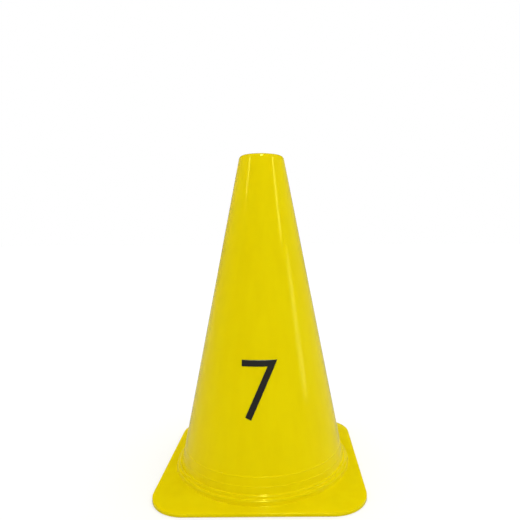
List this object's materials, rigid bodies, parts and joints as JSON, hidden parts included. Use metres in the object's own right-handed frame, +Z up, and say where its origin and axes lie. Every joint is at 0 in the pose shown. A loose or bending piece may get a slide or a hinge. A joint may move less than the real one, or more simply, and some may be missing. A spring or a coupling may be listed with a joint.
{
  "type": "training cone",
  "caption": "Hollow conical field marker moulded in one piece, with a square round-cornered base, a stepped foot and an open top with a rounded lip.",
  "frame": {"origin": "middle of the base, on the floor", "axes": "+Z up the cone's axis; X and Y square to the sides of the base, with -Y towards the picture's camera"},
  "size_m": [0.1836, 0.1836, 0.3],
  "materials": {
    "plastic": "gloss"
  },
  "bodies": {
    "root": {"cone_body": "plastic"}
  },
  "joints": []
}
